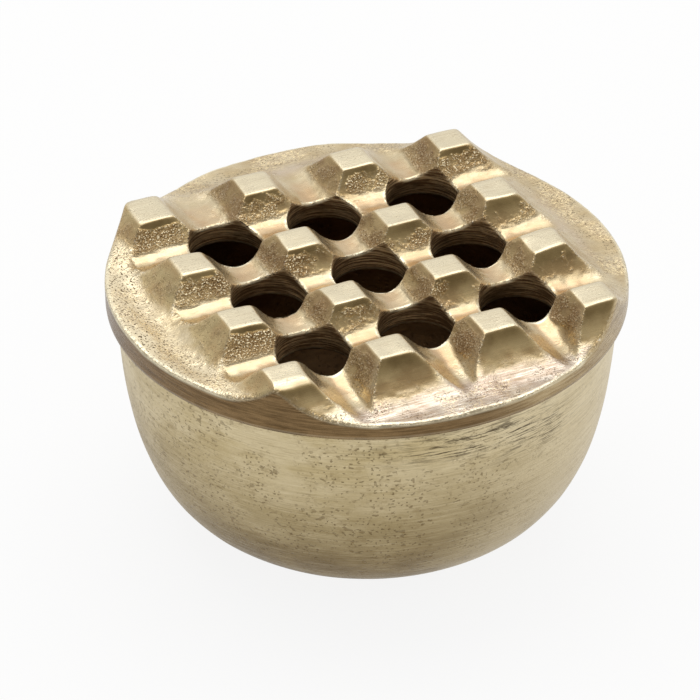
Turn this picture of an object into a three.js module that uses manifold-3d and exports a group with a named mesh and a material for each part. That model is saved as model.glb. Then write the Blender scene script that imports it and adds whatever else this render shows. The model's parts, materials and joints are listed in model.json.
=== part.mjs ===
// A cast brass flower frog in two pieces: a round bowl, and a thick grid lid that rests on its rim
// and lifts straight off. Millimetres, +Z up, with the middle of the bowl's base at the origin.
import * as THREE from "three";
import { mergeVertices } from "three/addons/utils/BufferGeometryUtils.js";
import Module from "manifold-3d";

const wasm = await Module();
wasm.setup();

// ---- Bowl ----
const bowlHeight = 49.8;
const bowlRimRadius = 53;
const bowlWall = 3.2;
const bowlFloor = 4;
const bowlBaseRadius = 25.8;
const sideTaper = 1.3;        // how far the side leans in over sideDrop
const sideDrop = 23.3;        // how far down the near-straight side reaches before it rounds in
const haunchReach = 23.5;     // how far the rounded haunch reaches out past the flat base
const haunchRise = 0.5;       // how far it climbs over that reach

// ---- How the lid sits on the bowl ----
const lidOverhang = 1.9;      // past the bowl's rim, all round
const seatGap = 0.3;          // between the rim and the face that rests on it
const ringDepth = 3;          // of the locating ring that drops inside the bowl's mouth
const ringWall = 3;
const ringClearance = 0.5;    // between the ring and the bowl's inside, all round

// ---- Lid ----
const lidThickness = 11.1;    // from the face on the rim to the stud tops
const ceilingRecess = 1;      // of the underside inside the ring
const studsPerSide = 4;
const studTopWidth = 6.9;
const studSlope = THREE.MathUtils.degToRad(49.5);
const cornerStudInset = 1.25; // from the outer corner of a corner stud's top to the lid's wall
const gridShift = new THREE.Vector2(0.45, -0.85);  // the cast grid is a little off centre
const grooveDepth = 5.8;
const grooveFillet = 4.5;
const shelfDepths = [7.1, 6.6, 6.4, 7];  // of the border on the +x, +y, -x and -y sides
const shelfFillet = 5;
const holeRadius = 8;         // of the stem holes, where the grooves cross

// ---- Facets ----
const roundSegments = 80;
const holeSegments = 40;
const curveSegments = 14;
const filletSegments = 4;
const cutMargin = 5;          // how far a cutter runs past what it cuts

// ---- Worked out from the sizes above ----
const lidRadius = bowlRimRadius + lidOverhang;
const seatZ = bowlHeight + seatGap;
const studTopZ = seatZ + lidThickness;
const ceilingZ = seatZ + ceilingRecess;
const ringRadius = bowlRimRadius - bowlWall - ringClearance;
const gridWidth = (lidRadius - cornerStudInset) * Math.SQRT2;
const pitch = (gridWidth - studTopWidth) / (studsPerSide - 1);
const grooveHalfWidth = (pitch - studTopWidth) / 2;
const cutLength = 2 * (lidRadius + cutMargin);

const brass = new THREE.MeshStandardMaterial({ color: 0xc2ad7d, roughness: 0.38, metalness: 1 });
const lidBrass = new THREE.MeshStandardMaterial({ color: 0xb9a271, roughness: 0.42, metalness: 1 });

// A closed geometry becomes a solid that can be cut.
function solidFrom(geometry) {
  geometry.deleteAttribute("normal");
  geometry.deleteAttribute("uv");
  const merged = mergeVertices(geometry, 1e-4);
  const vertProperties = new Float32Array(merged.attributes.position.array);
  const triVerts = new Uint32Array(merged.index.array);
  return new wasm.Manifold(new wasm.Mesh({ numProp: 3, vertProperties, triVerts }));
}

function meshFrom(solid, name, material) {
  const { vertProperties, triVerts } = solid.getMesh();
  const geometry = new THREE.BufferGeometry();
  geometry.setAttribute("position", new THREE.BufferAttribute(vertProperties, 3));
  geometry.setIndex(new THREE.BufferAttribute(triVerts, 1));
  geometry.computeVertexNormals();
  const mesh = new THREE.Mesh(geometry, material);
  mesh.name = name;
  return mesh;
}

// A lathe turns about Y, so it is stood up on Z. The profile runs anticlockwise in radius and height.
function turned(profile) {
  return new THREE.LatheGeometry(profile, roundSegments).rotateX(Math.PI / 2);
}

// The bowl's side in radius and height, from the flat base up to the rim. An inset of zero is the
// outside, and an inset of the wall, standing on the floor, is the inside.
function bowlSide(inset, floorZ) {
  const base = new THREE.Vector2(bowlBaseRadius - inset, floorZ);
  const haunch = new THREE.Vector2(base.x + haunchReach, floorZ + haunchRise);
  const rim = new THREE.Vector2(bowlRimRadius - inset, bowlHeight);
  const flank = new THREE.Vector2(rim.x - sideTaper, bowlHeight - sideDrop);
  return new THREE.CubicBezierCurve(base, haunch, flank, rim).getPoints(curveSegments);
}

function makeBowl() {
  const outside = bowlSide(0, 0);
  const inside = bowlSide(bowlWall, bowlFloor).reverse();
  const profile = [new THREE.Vector2(0, 0), ...outside, ...inside, new THREE.Vector2(0, bowlFloor)];
  return meshFrom(solidFrom(turned(profile)), "bowl", brass);
}

// The lid before its top is cut: a thick disc with the locating ring below it.
function lidBlank() {
  const profile = [
    new THREE.Vector2(0, ceilingZ),
    new THREE.Vector2(ringRadius - ringWall, ceilingZ),
    new THREE.Vector2(ringRadius - ringWall, seatZ - ringDepth),
    new THREE.Vector2(ringRadius, seatZ - ringDepth),
    new THREE.Vector2(ringRadius, seatZ),
    new THREE.Vector2(lidRadius, seatZ),
    new THREE.Vector2(lidRadius, studTopZ),
    new THREE.Vector2(0, studTopZ),
  ];
  return solidFrom(turned(profile));
}

// A stud's face in section, with its top edge at 0, 0 and the open side on +x: from above the edge,
// down the slope, and round a concave fillet onto the floor.
function studFace(depth, fillet) {
  const above = new THREE.Vector2(-cutMargin / Math.tan(studSlope), cutMargin);
  const floorStart = depth / Math.tan(studSlope) + fillet * Math.tan(studSlope / 2);
  const onFloor = 1.5 * Math.PI;
  const round = new THREE.EllipseCurve(
    floorStart, fillet - depth, fillet, fillet, onFloor - studSlope, onFloor);
  return [above, ...round.getPoints(filletSegments)];
}

function grooveOutline() {
  const left = studFace(grooveDepth, grooveFillet);
  left.forEach((point) => { point.x -= grooveHalfWidth; });
  const right = left.map((point) => new THREE.Vector2(-point.x, point.y)).reverse();
  return [...left, ...right];
}

function shelfOutline(depth) {
  const reach = lidRadius + cutMargin;
  const far = [new THREE.Vector2(reach, -depth), new THREE.Vector2(reach, cutMargin)];
  return [...studFace(depth, shelfFillet), ...far];
}

// A straight cutter with that section: it runs across the whole lid, offset from the grid's middle
// by that much, and the whole is turned about the grid's middle.
function straightCut(outline, offset, turn) {
  const options = { depth: cutLength, bevelEnabled: false };
  const geometry = new THREE.ExtrudeGeometry(new THREE.Shape(outline), options);
  geometry.translate(0, 0, -cutLength / 2);
  geometry.rotateX(Math.PI / 2);
  geometry.translate(offset, 0, 0);
  geometry.rotateZ(turn);
  geometry.translate(gridShift.x, gridShift.y, studTopZ);
  return solidFrom(geometry);
}

function holeCut(x, y) {
  const height = lidThickness + 2 * cutMargin;
  const geometry = new THREE.CylinderGeometry(holeRadius, holeRadius, height, holeSegments);
  geometry.rotateX(Math.PI / 2);
  geometry.translate(gridShift.x + x, gridShift.y + y, seatZ + lidThickness / 2);
  return solidFrom(geometry);
}

// The grooves lie midway between the studs, and the stem holes where two grooves cross.
function grooveOffsets() {
  const middle = (studsPerSide - 2) / 2;
  return Array.from({ length: studsPerSide - 1 }, (_, index) => (index - middle) * pitch);
}

function makeLid() {
  const cutters = [];
  for (const offset of grooveOffsets()) {
    cutters.push(straightCut(grooveOutline(), offset, 0));
    cutters.push(straightCut(grooveOutline(), offset, Math.PI / 2));
    for (const across of grooveOffsets()) {
      cutters.push(holeCut(offset, across));
    }
  }
  shelfDepths.forEach((depth, side) => {
    cutters.push(straightCut(shelfOutline(depth), gridWidth / 2, (side * Math.PI) / 2));
  });
  const lid = cutters.reduce((solid, cutter) => solid.subtract(cutter), lidBlank());
  return meshFrom(lid, "grid_lid", lidBrass);
}

const flowerFrog = new THREE.Group();
flowerFrog.add(makeBowl(), makeLid());

export default flowerFrog;
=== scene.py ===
"""The looks of a cast brass flower frog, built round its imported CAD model.

Shapes are worked out in millimetres and written to Blender in metres. The lamp and the floor
are placed in metres.
"""
import json
import math

import bpy
import numpy as np
from mathutils import Matrix, Vector


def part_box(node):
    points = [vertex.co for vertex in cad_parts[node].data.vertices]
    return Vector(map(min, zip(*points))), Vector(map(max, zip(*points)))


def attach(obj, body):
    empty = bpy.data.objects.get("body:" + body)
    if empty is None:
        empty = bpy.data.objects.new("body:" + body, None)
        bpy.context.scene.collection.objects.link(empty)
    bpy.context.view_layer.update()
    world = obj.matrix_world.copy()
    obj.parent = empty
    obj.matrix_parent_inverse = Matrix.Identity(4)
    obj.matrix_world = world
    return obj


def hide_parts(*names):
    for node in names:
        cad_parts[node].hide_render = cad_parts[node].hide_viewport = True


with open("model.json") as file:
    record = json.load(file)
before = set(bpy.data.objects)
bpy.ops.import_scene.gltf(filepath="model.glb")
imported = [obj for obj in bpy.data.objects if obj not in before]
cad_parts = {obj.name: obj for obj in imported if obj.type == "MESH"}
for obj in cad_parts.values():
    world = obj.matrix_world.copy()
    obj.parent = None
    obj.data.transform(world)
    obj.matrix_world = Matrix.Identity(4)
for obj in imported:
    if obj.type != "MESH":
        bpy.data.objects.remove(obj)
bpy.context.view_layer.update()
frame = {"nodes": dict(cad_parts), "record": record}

MM = 0.001

# ---- Sizes, in millimetres: the outer ones come from the frame, the rest repeat the CAD's ----
bowl_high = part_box("bowl")[1] / MM
lid_low, lid_high = (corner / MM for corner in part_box("grid_lid"))
holes = {
    opening["name"]: (Vector(opening["box_m"][0]) + Vector(opening["box_m"][1])) / 2 / MM
    for opening in frame["record"]["physics"]["openings"]
}

RIM_RADIUS = bowl_high.x
RIM_Z = bowl_high.z
LID_RADIUS = lid_high.x
STUD_TOP_Z = lid_high.z
RING_BOTTOM_Z = lid_low.z
GRID_MIDDLE = np.array(holes["stem_hole_5"].xy)
PITCH = (holes["stem_hole_6"] - holes["stem_hole_5"]).x

BOWL_WALL = 3.2
BOWL_FLOOR = 4.0
BASE_RADIUS = 25.8
SIDE_TAPER = 1.3
SIDE_DROP = 23.3
HAUNCH_REACH = 23.5
HAUNCH_RISE = 0.5
SEAT_Z = RIM_Z + 0.3
CEILING_Z = SEAT_Z + 1.0
RING_OUTER = RIM_RADIUS - BOWL_WALL - 0.5
RING_INNER = RING_OUTER - 3.0
STUD_TOP = 6.9
STUD_SLOPE = math.radians(49.5)
GROOVE_DEPTH = 5.8
SHELF_DEPTHS = (7.1, 6.6, 6.4, 7.0)   # on the +x, +y, -x and -y sides
HOLE_RADIUS = 8.0
GRID_HALF = 1.5 * PITCH + STUD_TOP / 2

# ---- How fine the two meshes are ----
VOXEL = 0.42           # millimetres between the points of the lid's net
BOWL_SEGMENTS = 300    # steps round the bowl


# ---- Noise and soft corners ----
def hashed(cells, seed):
    """A fixed pseudo-random number from 0 to 1 for each whole-number cell."""
    x, y, z = (cells[..., axis].astype(np.int64) for axis in range(3))
    mixed = (x * 73856093) ^ (y * 19349663) ^ (z * 83492791) ^ (seed * 2654435761)
    mixed = (mixed ^ (mixed >> 13)) * 1274126177 & 0xFFFFFFFF
    mixed = (mixed ^ (mixed >> 16)) * 2246822519 & 0xFFFFFFFF
    return ((mixed ^ (mixed >> 15)) & 0xFFFFFF) / float(0xFFFFFF)


def noise(points, size, seed):
    """Smooth noise from about -1 to 1, with lumps about that many millimetres apart."""
    at = points / size
    cell = np.floor(at).astype(np.int64)
    part = at - cell
    ease = part * part * part * (part * (part * 6 - 15) + 10)
    total = 0.0
    for corner in np.ndindex(2, 2, 2):
        share = np.prod(np.where(corner, ease, 1 - ease), axis=-1)
        total = total + share * (hashed(cell + np.array(corner), seed) * 2 - 1)
    return total


def wobble(points, size, seed):
    return np.stack([noise(points, size, seed + axis) for axis in range(3)], axis=-1)


def soft_max(a, b, width):
    """The larger of two distances, with the corner between them rounded over that width."""
    near = np.maximum(width - np.abs(a - b), 0) / width
    return np.maximum(a, b) + near * near * width / 4


def soft_min(a, b, width):
    return -soft_max(-a, -b, width)


def smoothstep(low, high, value):
    part = np.clip((value - low) / (high - low), 0, 1)
    return part * part * (3 - 2 * part)


# ---- The lid's shape, as a distance that is below 0 inside the metal ----
CRISP = 0.4          # how wide the sharp edges of stud tops and stem holes are
CORNER = 0.8         # how wide the sloping edges between stud faces are
WORN = 1.1           # how wide the rolled edges on the studs' +x and +y sides are
RIM_ROUND = 0.9      # how wide the lid's outer edges are, above and below its side
RING_EDGE = 0.6      # how wide the edges of the recess under the lid and of its ring are
RING_FOOT = 0.8      # the same for the edges at the ring's lower end
RING_JOIN = 0.5      # how wide the fillet between the ring and the plate is
RING_INTO_PLATE = 2.0   # how far the ring reaches up into the plate
LIP = 0.5            # how wide the edge is where a groove runs out over a border
GROOVE_ROUND = 2.7   # how wide the concave foot of a stud's face is
SHELF_ROUND = 4.6    # the same for the faces that slope down to the borders
LONG_STUD = 1.8      # how much further back the -x, +y corner stud reaches
BACK_SHIFT = (0.7, 1.5)     # how far the two middle studs of the +y row sit from their places
LEFT_SHIFT = (-1.1, 0.0)    # the same for the two +y studs of the -x row
GROUND_START = 1.7 - GRID_HALF        # where the flat ground on the -x, -y corner stud begins
GROUND_SLOPE = math.radians(24)
SCOOP = 1.0          # how much deeper than its CAD floor the -x border is hollowed
RIM_RISE = 1.5       # how much the rim of that border stands above its hollow
NOTCH_TILT = 0.15    # how steeply the grooves' floors lean to the right where they reach the front
NOTCH_LEFT = -1.2    # where, across a groove's floor, the leaning part begins
NOTCH_RIGHT = 2.0    # where the grooves end in a point
NOTCH_LENGTH = 5.0   # how far in front of the studs' feet that point is
FADE_LENGTH = 4.0    # how far beside the studs, on the -x border, the grooves along x fade out


def face_and_floor(across, height, depth, rounding):
    """A stud's face that slopes away from its top edge at 0, and the floor at its foot."""
    face = height * math.cos(STUD_SLOPE) + across * math.sin(STUD_SLOPE)
    return soft_min(face, height + depth, rounding)


def in_cell(along):
    """The place along one axis from the middle of the nearest stud."""
    return along - PITCH * (np.clip(np.floor(along / PITCH), -2, 1) + 0.5)


def grooves_across(along, height, depth, rounding):
    """The studs' faces and the grooves between them, met along one axis of the grid."""
    across = np.abs(in_cell(along)) - STUD_TOP / 2
    groove = face_and_floor(across, height, depth, rounding)
    past_the_grid = np.abs(along) > 1.5 * PITCH
    return np.where(past_the_grid, height - 1, groove)


def border_across(along, height, depth_low, depth_high):
    """The outer faces of the last studs on one axis, and the borders past them."""
    depth = np.where(along < 0, depth_low, depth_high)
    border = face_and_floor(np.abs(along) - GRID_HALF, height, depth, SHELF_ROUND)
    return np.where(np.abs(along) > 1.5 * PITCH, border, height - 1)


def scooped_depth(points, radius):
    """The -x border's depth: hollowed beside the studs, and higher again at the rim."""
    leftward = smoothstep(0.5, 0.97, -points[:, 0] / np.maximum(radius, 1))
    rise = SCOOP * 0.7 + RIM_RISE * leftward
    return SHELF_DEPTHS[2] + SCOOP - rise * smoothstep(LID_RADIUS - 9.5, LID_RADIUS, radius)


def front_notch(x, y):
    """The depth and rounding of the grooves along y, which end in a sharp notch at the front."""
    foot = GRID_HALF + SHELF_DEPTHS[3] / math.tan(STUD_SLOPE)
    half_floor = in_cell(x - PITCH / 2)
    closing = np.maximum(-y - foot, 0) / NOTCH_LENGTH
    left_side = NOTCH_LEFT + (NOTCH_RIGHT - NOTCH_LEFT) * closing
    notch = SHELF_DEPTHS[3] + NOTCH_TILT * (half_floor - left_side)
    share = smoothstep(1.15 * PITCH, foot - 2, -y)
    sharpness = share * smoothstep(-3, 0.5, half_floor)
    depth = GROOVE_DEPTH + (notch - GROOVE_DEPTH) * share
    return depth, GROOVE_ROUND * (1 - 0.45 * sharpness)


def hole_distance(x, y):
    """How far each point is from the wall of the nearest stem hole, above 0 inside the hole."""
    nearest_x = np.clip(np.round(x / PITCH), -1, 1) * PITCH
    nearest_y = np.clip(np.round(y / PITCH), -1, 1) * PITCH
    return HOLE_RADIUS - np.hypot(x - nearest_x, y - nearest_y)


def uneven_grid(points):
    """Each point's place on an even grid, for studs that were cut a little out of line."""
    x = points[:, 0] - GRID_MIDDLE[0]
    y = points[:, 1] - GRID_MIDDLE[1]
    low, high = 0.8 * PITCH, 1.2 * PITCH
    back = smoothstep(low, high, y) * smoothstep(high, low, np.abs(x))
    left = smoothstep(low, high, -x) * smoothstep(-0.2 * PITCH, 0.2 * PITCH, y)
    x = x - BACK_SHIFT[0] * back - LEFT_SHIFT[0] * left
    y = y - BACK_SHIFT[1] * back - LEFT_SHIFT[1] * left
    return x, y


def stud_field(points, radius):
    """The top of the lid: studs, grooves and borders."""
    x, y = uneven_grid(points)
    height = points[:, 2] - STUD_TOP_Z
    roll_x = CRISP + (WORN - CRISP) * smoothstep(-2, 2, in_cell(x))
    roll_y = CRISP + (WORN - CRISP) * smoothstep(-2, 2, in_cell(y)) * 0.6
    grooved_x = soft_max(grooves_across(x, height, *front_notch(x, y)), height, roll_x)
    grooved_y = grooves_across(y, height, GROOVE_DEPTH, GROOVE_ROUND)
    grooved_y = soft_max(grooved_y, height, roll_y)
    fade_start = GRID_HALF + FADE_LENGTH
    fade = smoothstep(fade_start, fade_start + FADE_LENGTH, -x)
    grooved_y = grooved_y - FADE_LENGTH * fade
    border_x = border_across(x, height, scooped_depth(points, radius), SHELF_DEPTHS[0])
    y = y - LONG_STUD * ((x < -PITCH) & (y > 1.5 * PITCH))
    border_y = border_across(y, height, SHELF_DEPTHS[3], SHELF_DEPTHS[1])
    bordered_x = soft_max(grooved_x, soft_max(border_x, height, roll_x), LIP)
    bordered_y = soft_max(grooved_y, soft_max(border_y, height, roll_y), LIP)
    studs = soft_max(bordered_x, bordered_y, CORNER)
    ground_corner = height * math.cos(GROUND_SLOPE) + (GROUND_START - y) * math.sin(GROUND_SLOPE)
    return np.where(x < -PITCH, soft_max(studs, ground_corner, CRISP), studs)


def lid_distance(points):
    x = points[:, 0] - GRID_MIDDLE[0]
    y = points[:, 1] - GRID_MIDDLE[1]
    z = points[:, 2]
    radius = np.hypot(points[:, 0], points[:, 1])
    rim = soft_max(stud_field(points, radius), radius - LID_RADIUS, RIM_ROUND)
    plate = soft_max(rim, SEAT_Z - z, RIM_ROUND)
    recess = np.maximum(radius - RING_INNER, z - CEILING_Z)
    plate = soft_max(plate, -recess, RING_EDGE)
    ring = soft_max(radius - RING_OUTER, RING_INNER - radius, RING_EDGE)
    ring = soft_max(ring, RING_BOTTOM_Z - z, RING_FOOT)
    ring = soft_max(ring, z - CEILING_Z - RING_INTO_PLATE, RING_EDGE)
    solid = soft_min(plate, ring, RING_JOIN)
    return soft_max(solid, hole_distance(x, y), CRISP)


def slope_of(distance, points, step=0.05):
    """The direction in which that distance grows, at each point."""
    slope = np.empty_like(points)
    for axis in range(3):
        offset = np.zeros(3)
        offset[axis] = step
        slope[:, axis] = (distance(points + offset) - distance(points - offset)) / (2 * step)
    return slope


def pulled_onto(distance, points, steps=5, longest=0.4):
    """The points moved to where that distance is 0, by no more than the longest move each step."""
    for _ in range(steps):
        slope = slope_of(distance, points)
        size = np.maximum((slope * slope).sum(axis=1), 0.2)
        move = slope * (distance(points) / size)[:, None]
        points = points - np.clip(move, -longest, longest)
    return points


# ---- Meshes ----
def mesh_points(mesh):
    points = np.empty(len(mesh.vertices) * 3, np.float32)
    mesh.vertices.foreach_get("co", points)
    return points.reshape(-1, 3).astype(float) / MM


def write_points(mesh, points):
    mesh.vertices.foreach_set("co", (points * MM).astype(np.float32).ravel())
    mesh.update()


def write_masks(mesh, masks):
    for name, values in masks.items():
        made = mesh.attributes.new(name, "FLOAT", "POINT")
        made.data.foreach_set("value", np.clip(values, 0, 1).astype(np.float32))


def vertex_normals(mesh):
    found = np.empty(len(mesh.vertices) * 3, np.float32)
    mesh.vertices.foreach_get("normal", found)
    return found.reshape(-1, 3).astype(float)


def smooth_shaded(mesh):
    mesh.polygons.foreach_set("use_smooth", np.ones(len(mesh.polygons), bool))
    mesh.update()


def fine_copy(node, name, voxel):
    """A new object with an even net of small faces over a CAD node's shape."""
    source = frame["nodes"][node]
    work = bpy.data.objects.new(name, source.data.copy())
    bpy.context.scene.collection.objects.link(work)
    weld = work.modifiers.new("weld", "WELD")
    weld.merge_threshold = 0.01 * MM
    remesh = work.modifiers.new("remesh", "REMESH")
    remesh.mode = "VOXEL"
    remesh.voxel_size = voxel * MM
    depsgraph = bpy.context.evaluated_depsgraph_get()
    mesh = bpy.data.meshes.new_from_object(work.evaluated_get(depsgraph), depsgraph=depsgraph)
    bpy.data.objects.remove(work)
    mesh.name = name
    mesh.materials.clear()
    made = bpy.data.objects.new(name, mesh)
    bpy.context.scene.collection.objects.link(made)
    return made


def missing_metal(points, normals, depth):
    """How much nearer to air each point gets, that deep below it, than it would under a flat."""
    return lid_distance(points - normals * depth) + depth


def lid_masks(points, normals):
    """What the lid's material reads at each vertex, each mask from 0 to 1."""
    x = points[:, 0] - GRID_MIDDLE[0]
    y = points[:, 1] - GRID_MIDDLE[1]
    radius = np.hypot(points[:, 0], points[:, 1])
    depth = STUD_TOP_Z - points[:, 2]
    level = normals[:, 2]
    past_grid = np.maximum(np.abs(x), np.abs(y)) - GRID_HALF
    reach = 2.2

    near_hole = 1 - smoothstep(0.25, 0.6, np.abs(hole_distance(x, y)))
    upright = 1 - smoothstep(0.25, 0.55, np.abs(level))
    sloping = smoothstep(0.93, 0.8, level) * smoothstep(0.35, 0.55, level)
    flat = smoothstep(0.9, 0.97, level)
    first_column = smoothstep(-PITCH, -1.2 * PITCH, x)
    not_front_row = 1 - smoothstep(-PITCH, -1.4 * PITCH, y)
    halfway = smoothstep(0.5, 2.2, depth) * smoothstep(6.0, 4.8, depth)
    rough_front = smoothstep(0.25, 0.5, -normals[:, 1]) * not_front_row * (0.5 + 0.5 * first_column)
    rough_left = smoothstep(0.25, 0.5, -normals[:, 0]) * (0.95 - 0.45 * first_column)
    sideways = (0.91 * points[:, 0] - 0.41 * points[:, 1]) / LID_RADIUS
    sideways = sideways + 0.15 * noise(points, 9.0, 81)
    return {
        "hollow": 1 - lid_distance(points + normals * reach) / reach,
        "edge": missing_metal(points, normals, 0.9) / 0.5,
        "margin": missing_metal(points, normals, 1.7),
        "hole": near_hole * upright,
        "band": smoothstep(LID_RADIUS - 1.2, LID_RADIUS - 0.5, radius) * upright,
        # The side towards the front right, where the band is painted lighter as if lit.
        "painted_lit_side": smoothstep(0.35, 0.85, sideways),
        "front": sloping * smoothstep(0.3, 0.6, -normals[:, 1]),
        "left": sloping * smoothstep(0.3, 0.6, -normals[:, 0]),
        # Where a painted shade line runs just under the stud tops.
        "shaded_brow": smoothstep(0.2, 0.7, depth) * smoothstep(4.2, 1.2, depth),
        "rough": halfway * np.maximum(rough_front, rough_left),
        "first": first_column,
        "fore": smoothstep(-GRID_HALF + 2, -GRID_HALF - 2, y),
        "trough": flat * smoothstep(GROOVE_DEPTH - 1, GROOVE_DEPTH, depth) * smoothstep(3, 0, past_grid),
        "border": smoothstep(3, 8, past_grid) * smoothstep(0.85, 0.95, level),
        "outer": smoothstep(LID_RADIUS - 11, LID_RADIUS - 5, radius),
        "under": smoothstep(0.2, -0.4, level),
        "top": flat * smoothstep(1.1, 0.7, depth),
    }


def raised_to_rim(points):
    """The points with the -x border already near its scooped height, so that none fold over."""
    radius = np.hypot(points[:, 0], points[:, 1])
    outward = smoothstep(GRID_HALF + 1, GRID_HALF + 6, GRID_MIDDLE[0] - points[:, 0])
    rim_z = STUD_TOP_Z - SHELF_DEPTHS[2]
    lift = SHELF_DEPTHS[2] - scooped_depth(points, radius)
    raised = points.copy()
    raised[:, 2] += lift * outward * smoothstep(SEAT_Z + 0.5, rim_z, points[:, 2])
    return raised


def lid_sway(points):
    """How far the hand-finished top strays from true faces at each point."""
    sway = 0.35 * wobble(points, 13.0, 11) + 0.12 * wobble(points, 4.5, 31)
    below_tops = smoothstep(0.5, 2.2, STUD_TOP_Z - points[:, 2])[:, None]
    cast_grain = 0.05 * below_tops * wobble(points, 1.5, 71)
    upper = smoothstep(SEAT_Z + 1, SEAT_Z + 5, points[:, 2])[:, None]
    sway = (sway + cast_grain) * upper
    inside_rim = smoothstep(LID_RADIUS - 1, LID_RADIUS - 4, np.hypot(points[:, 0], points[:, 1]))
    sway[:, :2] *= inside_rim[:, None]
    return sway


def make_lid():
    lid = fine_copy("grid_lid", "cast_grid_lid", VOXEL)
    points = raised_to_rim(mesh_points(lid.data))
    sway = lid_sway(points)
    points = pulled_onto(lid_distance, points + sway) - sway
    points[:, 2] = np.minimum(points[:, 2], STUD_TOP_Z)
    write_points(lid.data, points)
    smooth_shaded(lid.data)
    write_masks(lid.data, lid_masks(points + sway, vertex_normals(lid.data)))
    return lid


# ---- The bowl's shape ----
def bezier(p0, p1, p2, p3, count):
    t = np.linspace(0, 1, count)[:, None]
    parts = ((1 - t) ** 3, 3 * (1 - t) ** 2 * t, 3 * (1 - t) * t ** 2, t ** 3)
    return sum(part * np.array(point) for part, point in zip(parts, (p0, p1, p2, p3)))


def bowl_side(inset, floor_z, count):
    """The bowl's side in radius and height, from the base up to just below the rim."""
    base = (BASE_RADIUS - inset, floor_z)
    haunch = (base[0] + HAUNCH_REACH, floor_z + HAUNCH_RISE)
    rim = (RIM_RADIUS - inset, RIM_Z)
    flank = (rim[0] - SIDE_TAPER, RIM_Z - SIDE_DROP)
    return bezier(base, haunch, flank, rim, count)


def arc(centre, radius, start, end, count):
    angles = np.radians(np.linspace(start, end, count))
    return np.stack([centre[0] + radius * np.cos(angles), centre[1] + radius * np.sin(angles)], 1)


def bowl_profile():
    rim_round = 0.8
    outside = bowl_side(0, 0, 100)[:-1]
    inside = bowl_side(BOWL_WALL, BOWL_FLOOR, 60)[:-1][::-1]
    outer_edge = arc((RIM_RADIUS - rim_round, RIM_Z - rim_round), rim_round, 0, 90, 5)
    inner_edge = arc((RIM_RADIUS - BOWL_WALL + rim_round, RIM_Z - rim_round), rim_round, 90, 180, 5)
    base = np.stack([np.linspace(0.5, BASE_RADIUS, 14)[:-1], np.zeros(13)], 1)
    floor = np.stack([np.linspace(BASE_RADIUS - BOWL_WALL, 0.5, 14)[1:], np.full(13, BOWL_FLOOR)], 1)
    keep_out = outside[outside[:, 1] < RIM_Z - rim_round]
    keep_in = inside[inside[:, 1] < RIM_Z - rim_round]
    return np.concatenate([base, keep_out, outer_edge, inner_edge, keep_in, floor])


def turned(name, profile, segments):
    """A closed mesh turned round Z, with a fan of triangles at each end of its profile."""
    angles = np.linspace(0, 2 * np.pi, segments, endpoint=False)
    rings = len(profile)
    points = np.empty((rings, segments, 3))
    points[..., 0] = profile[:, 0, None] * np.cos(angles)
    points[..., 1] = profile[:, 0, None] * np.sin(angles)
    points[..., 2] = profile[:, 1, None]
    ends = np.array([[0, 0, profile[0, 1]], [0, 0, profile[-1, 1]]])
    points = np.concatenate([points.reshape(-1, 3), ends])
    here = np.arange(segments)
    beside = (here + 1) % segments
    faces = []
    for ring in range(rings - 1):
        low, high = ring * segments, (ring + 1) * segments
        faces += np.stack([low + here, low + beside, high + beside, high + here], 1).tolist()
    last = (rings - 1) * segments
    faces += [(rings * segments, int(b), int(a)) for a, b in zip(here, beside)]
    faces += [(rings * segments + 1, last + int(a), last + int(b)) for a, b in zip(here, beside)]
    mesh = bpy.data.meshes.new(name)
    mesh.from_pydata((points * MM).tolist(), [], faces)
    made = bpy.data.objects.new(name, mesh)
    bpy.context.scene.collection.objects.link(made)
    return made


def scratched_share(points, drift):
    """Two stretches of scratches near the rim: a long one under the front, and a lower one."""
    share = 0.0
    for azimuth, spread, depth, strength in ((-90, 20, 4.5, 1.2), (-72, 12, 10, 0.8)):
        turn = np.arctan2(points[:, 1], points[:, 0]) - math.radians(azimuth)
        along = np.arctan2(np.sin(turn), np.cos(turn)) / math.radians(spread)
        down = (points[:, 2] + 0.3 * drift - (RIM_Z - depth)) / 4.0
        share = share + strength * np.exp(-along ** 2 - down ** 2)
    return share


def bowl_masks(points):
    """What the bowl's material reads at each vertex, each mask from 0 to 1."""
    middle_of_wall = bowl_side(BOWL_WALL / 2, BOWL_FLOOR / 2, 80)
    radius = np.hypot(points[:, 0], points[:, 1])
    drift = 5 * noise(points, 30.0, 61)
    sideways = (0.91 * points[:, 0] - 0.41 * points[:, 1]) / RIM_RADIUS + 0.03 * drift
    return {
        "inside": radius < np.interp(points[:, 2], middle_of_wall[:, 1], middle_of_wall[:, 0]),
        # Darker towards the bottom: partly tarnish, partly painted shade where the bowl reflects the
        # dark near its foot.
        "low": smoothstep(RIM_Z - 2, 3, points[:, 2] + drift),
        "scratched": scratched_share(points, drift),
        # The side towards the front right, painted lighter as if lit; it also gets fewer pits.
        "painted_lit_side": smoothstep(0.1, 0.75, sideways),
    }


def make_bowl():
    bowl = turned("turned_bowl", bowl_profile(), BOWL_SEGMENTS)
    points = mesh_points(bowl.data)
    radius = np.maximum(np.hypot(points[:, 0], points[:, 1]), 1e-6)
    away_from_rim = smoothstep(RIM_Z, RIM_Z - 4, points[:, 2])
    away_from_base = smoothstep(0.1, 3, points[:, 2])
    uneven = 0.14 * noise(points, 26.0, 51) + 0.05 * noise(points, 8.0, 52) - 0.12
    move = uneven * away_from_rim * away_from_base
    points[:, :2] *= (1 + move / radius)[:, None]
    write_points(bowl.data, points)
    smooth_shaded(bowl.data)
    write_masks(bowl.data, bowl_masks(points))
    return bowl


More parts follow.
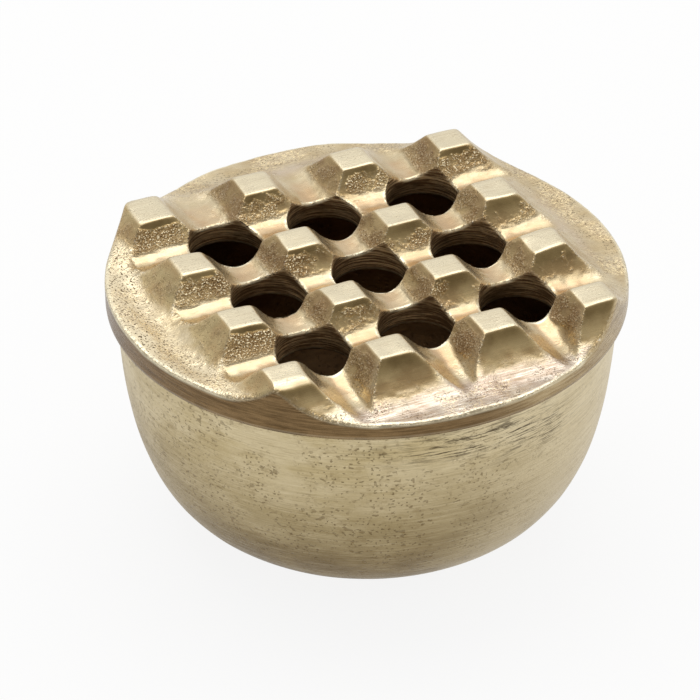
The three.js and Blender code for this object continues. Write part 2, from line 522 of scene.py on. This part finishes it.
# ---- Materials ----
class Nodes:
    """A material's node tree, with short calls that add a node and give back its output."""

    def __init__(self, name):
        self.material = bpy.data.materials.new(name)
        self.material.use_nodes = True
        self.tree = self.material.node_tree
        self.shader = self.tree.nodes["Principled BSDF"]

    def add(self, kind, **settings):
        node = self.tree.nodes.new(kind)
        for key, value in settings.items():
            setattr(node, key, value)
        return node

    def feed(self, socket, value):
        if isinstance(value, bpy.types.NodeSocket):
            self.tree.links.new(value, socket)
        else:
            socket.default_value = value

    def attribute(self, name):
        return self.add("ShaderNodeAttribute", attribute_name=name).outputs["Fac"]

    def place(self, scale):
        """The piece's own place in millimetres, times a scale on each axis."""
        mapping = self.add("ShaderNodeMapping")
        coordinates = self.add("ShaderNodeTexCoord").outputs["Object"]
        self.feed(mapping.inputs["Vector"], coordinates)
        mapping.inputs["Scale"].default_value = [part / MM for part in scale]
        return mapping.outputs["Vector"]

    def noise(self, scale, detail=2.0, roughness=0.5):
        node = self.add("ShaderNodeTexNoise")
        self.feed(node.inputs["Vector"], self.place(scale))
        node.inputs["Scale"].default_value = 1.0
        node.inputs["Detail"].default_value = detail
        node.inputs["Roughness"].default_value = roughness
        return node.outputs["Fac"]

    def maths(self, operation, a, b=0.0):
        node = self.add("ShaderNodeMath", operation=operation)
        self.feed(node.inputs[0], a)
        self.feed(node.inputs[1], b)
        return node.outputs[0]

    def times(self, *values):
        total = values[0]
        for value in values[1:]:
            total = self.maths("MULTIPLY", total, value)
        return total

    def plus(self, *values):
        total = values[0]
        for value in values[1:]:
            total = self.maths("ADD", total, value)
        return total

    def rest(self, share):
        return self.maths("SUBTRACT", 1.0, share)

    def between(self, value, low, high, to_low=0.0, to_high=1.0):
        """The value's place between low and high, eased and clamped."""
        node = self.add("ShaderNodeMapRange", interpolation_type="SMOOTHSTEP")
        for name, part in zip(("Value", "From Min", "From Max", "To Min", "To Max"),
                              (value, low, high, to_low, to_high)):
            self.feed(node.inputs[name], part)
        return node.outputs["Result"]

    def mix(self, share, first, second):
        node = self.add("ShaderNodeMix", data_type="RGBA")
        self.feed(node.inputs[0], share)
        self.feed(node.inputs[6], first)
        self.feed(node.inputs[7], second)
        return node.outputs[2]

    def bump(self, height, distance, before=None):
        """A bump whose height of 0 to 1 stands that many millimetres."""
        node = self.add("ShaderNodeBump")
        node.inputs["Distance"].default_value = distance * MM
        self.feed(node.inputs["Height"], height)
        if before is not None:
            self.feed(node.inputs["Normal"], before)
        return node.outputs["Normal"]


def tone(red, green, blue):
    """An sRGB colour of 0 to 255 as the linear one that a shader takes."""
    def linear(part):
        share = part / 255
        return share / 12.92 if share <= 0.04045 else ((share + 0.055) / 1.055) ** 2.4
    return (linear(red), linear(green), linear(blue), 1.0)


def cast_skin(n, blotch):
    """The lid's colour under all its marks: paler grooves, brown faces, painted shade on the inner left
    faces, and a painted shade line under the tops.
    """
    front, left = n.attribute("front"), n.attribute("left")
    groove_floor = n.mix(blotch, tone(196, 166, 130), tone(206, 184, 150))
    # Painted shade: the left faces of the inner columns are darker than the first column's, for the
    # neighbouring studs and holes they reflect.
    shaded_inner_left = n.mix(blotch, tone(158, 128, 88), tone(186, 160, 112))
    outer_left = n.mix(blotch, tone(202, 172, 124), tone(212, 190, 140))
    front_face = n.mix(blotch, tone(178, 148, 102), tone(210, 184, 132))
    # Painted shade: a darker line under the tops of the front faces, where a darker reflection falls.
    painted_shade_under_tops = n.mix(blotch, tone(104, 86, 50), tone(134, 112, 70))

    left_share = n.times(left, n.maths("SUBTRACT", 0.85, n.times(n.attribute("fore"), 0.4)))
    # The painted shade under the tops, weaker near the faces' edges.
    shaded_brow = n.times(front, n.attribute("shaded_brow"), n.rest(n.times(n.attribute("margin"), 0.5)))
    colour = n.mix(blotch, tone(196, 177, 140), tone(210, 195, 163))
    colour = n.mix(n.times(n.attribute("trough"), 0.8), colour, groove_floor)
    colour = n.mix(left_share, colour, n.mix(n.attribute("first"), shaded_inner_left, outer_left))
    colour = n.mix(n.times(front, 0.85), colour, front_face)
    return n.mix(n.times(shaded_brow, 0.75), colour, painted_shade_under_tops)


def grained(n, colour):
    """Rough cast grain in patches of the faces, with painted glints in it, and dark pits and painted
    glints along their feet.
    """
    front, left = n.attribute("front"), n.attribute("left")
    grain = n.noise((2.6, 2.6, 2.6), 3.0, 0.7)
    glints = n.noise((2.6, 2.6, 3.0), 1.0, 0.5)
    spread = n.plus(n.noise((0.15, 0.15, 0.15), 3.0, 0.75), n.times(n.attribute("rough"), 0.32))
    left_patch = n.times(left, n.between(n.noise((0.24, 0.24, 0.24), 1.0), 0.3, 0.48))
    faces = n.plus(front, n.times(left_patch, 0.9))
    cast = n.times(faces, n.between(spread, 0.58, 0.8), n.rest(n.attribute("margin")))
    # Painted glints: near-white specks in the cast patches, which also get lumps in the bump.
    painted_glint_patches = n.times(cast, n.rest(n.times(left, 0.6)))
    colour = n.mix(n.times(cast, 0.5), colour, tone(138, 107, 72))
    colour = n.mix(n.times(cast, n.between(grain, 0.54, 0.62), 0.85), colour, tone(84, 62, 38))
    colour = n.mix(n.times(painted_glint_patches, n.between(glints, 0.56, 0.64)), colour, tone(255, 240, 204))

    foot_patch = n.between(n.noise((0.28, 0.28, 0.28), 3.0, 0.7), 0.4, 0.58)
    foot = n.times(n.between(n.attribute("hollow"), 0.05, 0.25), foot_patch, n.rest(n.attribute("hole")))
    # Along the feet: dark specks are pits, pale specks are painted glints.
    pit_and_glint_specks = n.noise((1.7, 1.7, 1.7), 2.0, 0.6)
    colour = n.mix(n.times(foot, n.between(pit_and_glint_specks, 0.54, 0.62), 0.8), colour, tone(112, 86, 56))
    colour = n.mix(n.times(foot, n.between(pit_and_glint_specks, 0.45, 0.38), 0.8), colour, tone(255, 246, 226))
    lumpy = n.plus(painted_glint_patches, n.times(foot, 0.5))
    return colour, cast, lumpy, n.plus(grain, glints)


def brushed(n, colour, blotch, stripes):
    """Pale tops and borders with brush lines along x, the strongest on the front border, whose palest
    lines are painted highlights.
    """
    top, border = n.attribute("top"), n.attribute("border")
    fore = n.times(border, n.attribute("fore"))
    share = n.maths("MAXIMUM", top, border)
    streak = n.plus(n.times(share, 0.35), n.times(fore, 0.35))
    colour = n.mix(n.times(top, 0.85), colour, tone(224, 214, 187))
    colour = n.mix(n.times(fore, 0.9), colour, n.mix(blotch, tone(178, 160, 146), tone(202, 190, 176)))
    colour = n.mix(n.times(streak, n.between(stripes, 0.5, 0.68)), colour, tone(142, 116, 84))
    # Painted highlights: near-white streaks along the front border's brush lines.
    colour = n.mix(n.times(fore, n.between(stripes, 0.44, 0.34), 0.6), colour, tone(250, 244, 230))
    return colour, share


def mottled(n, colour):
    """Gold and brown mottling round the borders, which are paler along the rim on the left."""
    border, outer, first = n.attribute("border"), n.attribute("outer"), n.attribute("first")
    inner = n.times(border, n.rest(outer), n.rest(first))
    sparkle = n.noise((1.5, 1.5, 1.5), 3.0, 0.75)
    share = n.times(border, outer, n.between(n.noise((0.09, 0.09, 0.09), 2.0), 0.42, 0.55))
    colour = n.mix(n.times(inner, 0.5), colour, tone(206, 188, 172))
    colour = n.mix(n.times(border, outer, first, 0.85), colour, tone(238, 224, 192))
    colour = n.mix(n.times(share, n.between(sparkle, 0.52, 0.6), 0.6), colour, tone(246, 224, 176))
    colour = n.mix(n.times(share, n.between(sparkle, 0.47, 0.4), 0.5), colour, tone(164, 134, 104))
    return colour, share


def lid_pits(n):
    """Small pits: many along the borders' rim, and a few on tops and left faces."""
    first = n.attribute("first")
    patch = n.maths("MAXIMUM", n.between(n.noise((0.2, 0.2, 0.2), 2.0), 0.42, 0.56), first)
    pits = n.between(n.noise((2.1, 2.1, 2.1), 2.0, 0.5), 0.59, 0.65)
    near_rim = n.times(n.attribute("border"), n.attribute("outer"), n.plus(n.times(first, 0.4), 0.55))
    faces = n.plus(n.times(n.attribute("top"), 0.2), n.times(n.attribute("left"), 0.35))
    return n.times(pits, patch, n.plus(near_rim, faces))


def lid_material():
    n = Nodes("lid_brass_cast")
    hole, band = n.attribute("hole"), n.attribute("band")
    blotch = n.between(n.noise((0.13, 0.13, 0.13), 4.0, 0.6), 0.36, 0.64)
    stripes = n.noise((0.14, 3.2, 3.2), 3.0, 0.7)
    turned_lines = n.noise((0.12, 0.12, 2.6), 4.0, 0.75)
    pits = lid_pits(n)
    colour, cast, lumpy, lumps = grained(n, cast_skin(n, blotch))
    colour, brush_share = brushed(n, colour, blotch, stripes)
    colour, mottle_share = mottled(n, colour)
    colour = n.mix(pits, colour, tone(92, 72, 48))

    band_lines = n.between(turned_lines, 0.35, 0.65)
    # Painted light: the band is painted brown on its shaded left side and paler on its lit right side.
    shade_side_band = n.mix(band_lines, tone(92, 72, 46), tone(138, 112, 78))
    lit_side_band = n.mix(band_lines, tone(158, 134, 94), tone(206, 186, 146))
    # Painted light: the stem holes' walls are painted lighter than the dark holes would light them, and
    # their pale turned rings are painted highlights.
    hole_wall_with_ring_highlights = n.mix(n.between(turned_lines, 0.44, 0.62), tone(138, 106, 74), tone(255, 226, 180))
    # Worn, paler edges with painted highlights along them.
    worn_edge_and_highlight = n.times(n.between(n.attribute("edge"), 0.25, 0.85), 0.9)
    # Darker in the deepest hollows.
    darker_hollows = n.times(n.between(n.attribute("hollow"), 0.62, 1.0), 0.25)
    underside = n.mix(blotch, tone(104, 82, 54), tone(140, 114, 78))
    colour = n.mix(band, colour, n.mix(n.attribute("painted_lit_side"), shade_side_band, lit_side_band))
    colour = n.mix(hole, colour, hole_wall_with_ring_highlights)
    colour = n.mix(worn_edge_and_highlight, colour, tone(248, 240, 212))
    colour = n.mix(darker_hollows, colour, tone(130, 100, 70))
    colour = n.mix(n.attribute("under"), colour, underside)
    n.feed(n.shader.inputs["Base Color"], colour)
    n.shader.inputs["Metallic"].default_value = 1.0

    rough = n.between(stripes, 0.3, 0.7, 0.24, 0.36)
    n.feed(n.shader.inputs["Roughness"], n.plus(rough, n.times(cast, 0.06), n.times(hole, 0.24)))
    rings = n.times(n.maths("MAXIMUM", hole, band), turned_lines)
    normal = n.bump(n.times(n.plus(lumpy, n.times(mottle_share, 0.3)), lumps), 0.3)
    normal = n.bump(n.rest(pits), 0.12, normal)
    normal = n.bump(n.plus(rings, n.times(brush_share, stripes, 0.25)), 0.12, normal)
    n.feed(n.shader.inputs["Normal"], normal)
    return n.material


def bowl_material():
    n = Nodes("bowl_brass_turned")
    painted_lit_side = n.attribute("painted_lit_side")
    blotch = n.between(n.noise((0.07, 0.07, 0.16), 4.0, 0.6), 0.35, 0.65)
    lines = n.noise((0.09, 0.09, 3.2), 4.0, 0.75)
    # Partly tarnish, partly painted shade low on the bowl.
    tarnish_and_shade_low = n.mix(blotch, tone(100, 78, 38), tone(124, 102, 56))
    colour = n.mix(blotch, tone(196, 178, 135), tone(212, 196, 158))
    colour = n.mix(n.times(n.attribute("low"), 0.9), colour, tarnish_and_shade_low)
    # Painted light: the front right side is paler.
    colour = n.mix(n.times(painted_lit_side, 0.6), colour, tone(226, 211, 176))
    colour = n.mix(n.times(n.between(lines, 0.5, 0.7), 0.26), colour, tone(118, 96, 60))
    colour = n.mix(n.times(n.between(lines, 0.48, 0.34), 0.2), colour, tone(226, 212, 178))

    patch = n.between(n.noise((0.1, 0.1, 0.1), 3.0, 0.6), 0.34, 0.56)
    patch = n.times(patch, n.rest(n.times(painted_lit_side, 0.7)))
    pits = n.between(n.noise((1.5, 1.5, 1.9), 0.0), 0.68, 0.76)
    stains = n.between(n.noise((0.7, 0.7, 0.95), 0.0), 0.7, 0.78)
    cloud = n.between(n.noise((0.4, 0.4, 0.8), 4.0, 0.7), 0.48, 0.66)
    spots = n.times(n.maths("MAXIMUM", pits, n.times(stains, 0.8)), patch)
    colour = n.mix(n.times(cloud, patch, 0.3), colour, tone(128, 106, 66))
    colour = n.mix(n.times(spots, 0.55), colour, tone(104, 82, 46))

    streaks = n.between(n.noise((0.2, 0.2, 3.2), 3.0, 0.7), 0.5, 0.6)
    scratches = n.times(streaks, n.attribute("scratched"))
    # Painted shade: the bowl's inside, under the lid, is darker.
    shaded_inside_colour = n.mix(blotch, tone(112, 86, 60), tone(136, 108, 76))
    colour = n.mix(n.times(scratches, 0.9), colour, tone(62, 48, 28))
    colour = n.mix(n.attribute("inside"), colour, shaded_inside_colour)
    n.feed(n.shader.inputs["Base Color"], colour)
    n.feed(n.shader.inputs["Roughness"], n.between(lines, 0.3, 0.7, 0.34, 0.46))
    n.shader.inputs["Metallic"].default_value = 1.0
    normal = n.bump(n.rest(spots), 0.12, n.bump(lines, 0.1))
    n.feed(n.shader.inputs["Normal"], normal)
    return n.material


def dress(piece, material, body, node):
    piece.data.materials.append(material)
    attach(piece, body)
    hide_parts(node)


# ---- Camera, light and floor ----
CAMERA_AZIMUTH = math.radians(-24.22)
CAMERA_ELEVATION = math.radians(33.43)
CAMERA_ROLL = math.radians(-0.60)
CAMERA_AIM = (-0.853, -1.427)    # from the middle of the grid, in pitches
CAMERA_DISTANCE = 37.17          # in pitches
CAMERA_LENS = 218.4


def make_camera():
    """The camera looks at a point a little in front of the grid, level with the stud tops."""
    a, e, roll = CAMERA_AZIMUTH, CAMERA_ELEVATION, CAMERA_ROLL
    back = Vector((math.sin(a) * math.cos(e), -math.cos(a) * math.cos(e), math.sin(e)))
    level = Vector((math.cos(a), math.sin(a), 0))
    upward = back.cross(level)
    right = level * math.cos(roll) + upward * math.sin(roll)
    up = upward * math.cos(roll) - level * math.sin(roll)
    aim = Vector((*(GRID_MIDDLE + np.array(CAMERA_AIM) * PITCH), STUD_TOP_Z))
    place = (aim + back * CAMERA_DISTANCE * PITCH) * MM
    camera = bpy.data.objects.new("camera", bpy.data.cameras.new("camera"))
    camera.data.sensor_width = 36.0
    camera.data.lens = CAMERA_LENS
    camera.matrix_world = Matrix.Translation(place) @ Matrix((right, up, back)).transposed().to_4x4()
    bpy.context.scene.collection.objects.link(camera)
    bpy.context.scene.camera = camera


def soft_lamp(name, place, aim, size, power):
    lamp = bpy.data.objects.new(name, bpy.data.lights.new(name, "AREA"))
    lamp.data.shape = "RECTANGLE"
    lamp.data.size, lamp.data.size_y = size
    lamp.data.energy = power
    lamp.location = place
    lamp.rotation_euler = (Vector(aim) - Vector(place)).to_track_quat("-Z", "Y").to_euler()
    bpy.context.scene.collection.objects.link(lamp)


def make_world():
    """A pale studio: bright behind the object and overhead, dimmer high up behind the camera."""
    world = bpy.data.worlds.new("studio")
    bpy.context.scene.world = world
    world.use_nodes = True
    tree = world.node_tree
    background = tree.nodes["Background"]
    direction = tree.nodes.new("ShaderNodeTexCoord").outputs["Generated"]

    def toward(azimuth, elevation, low, high, out_low, out_high):
        dot = tree.nodes.new("ShaderNodeVectorMath")
        dot.operation = "DOT_PRODUCT"
        dot.inputs[1].default_value = (
            math.sin(azimuth) * math.cos(elevation),
            -math.cos(azimuth) * math.cos(elevation),
            math.sin(elevation),
        )
        tree.links.new(direction, dot.inputs[0])
        ease = tree.nodes.new("ShaderNodeMapRange")
        ease.interpolation_type = "SMOOTHSTEP"
        for name, value in zip(("From Min", "From Max", "To Min", "To Max"),
                               (low, high, out_low, out_high)):
            ease.inputs[name].default_value = value
        tree.links.new(dot.outputs["Value"], ease.inputs["Value"])
        return ease.outputs["Result"]

    def times(first, second):
        product = tree.nodes.new("ShaderNodeMath")
        product.operation = "MULTIPLY"
        tree.links.new(first, product.inputs[0])
        tree.links.new(second, product.inputs[1])
        return product.outputs[0]

    behind_camera = toward(CAMERA_AZIMUTH + 0.25, math.radians(42), 0.2, 0.9, 1.0, 0.52)
    back_wall = toward(CAMERA_AZIMUTH + math.pi, math.radians(38), 0.2, 1.0, 0.85, 0.98)
    left_side = toward(math.radians(-110), math.radians(12), 0.5, 1.0, 1.0, 0.55)
    strength = times(times(behind_camera, back_wall), left_side)
    background.inputs["Color"].default_value = (1.0, 0.985, 0.96, 1.0)
    tree.links.new(strength, background.inputs["Strength"])


def make_floor():
    """A white floor: it takes the object's shadow, and looks white to the eye and in the metal."""
    size = 6.0
    mesh = bpy.data.meshes.new("floor")
    corners = [(-size, -size, 0), (size, -size, 0), (size, size, 0), (-size, size, 0)]
    mesh.from_pydata(corners, [], [(0, 1, 2, 3)])
    floor = bpy.data.objects.new("floor", mesh)
    bpy.context.scene.collection.objects.link(floor)
    n = Nodes("floor_paper")
    n.shader.inputs["Base Color"].default_value = (0.93, 0.93, 0.93, 1)
    n.shader.inputs["Roughness"].default_value = 0.9
    path = n.add("ShaderNodeLightPath").outputs
    seen = n.plus(path["Is Camera Ray"], path["Is Glossy Ray"], path["Is Transmission Ray"])
    white = n.add("ShaderNodeEmission")
    white.inputs["Strength"].default_value = 1.0
    mixed = n.add("ShaderNodeMixShader")
    n.feed(mixed.inputs[0], n.times(seen, 0.88))
    n.tree.links.new(n.shader.outputs[0], mixed.inputs[1])
    n.tree.links.new(white.outputs[0], mixed.inputs[2])
    n.tree.links.new(mixed.outputs[0], n.tree.nodes["Material Output"].inputs["Surface"])
    mesh.materials.append(n.material)


make_camera()
make_world()
make_floor()
soft_lamp("overhead", place=(0.05, 0.22, 0.75), aim=(0, 0, 0.05), size=(0.8, 0.6), power=2.4)
dress(make_lid(), lid_material(), "lid", "grid_lid")
dress(make_bowl(), bowl_material(), "bowl", "bowl")

bpy.context.scene.view_settings.view_transform = "Standard"
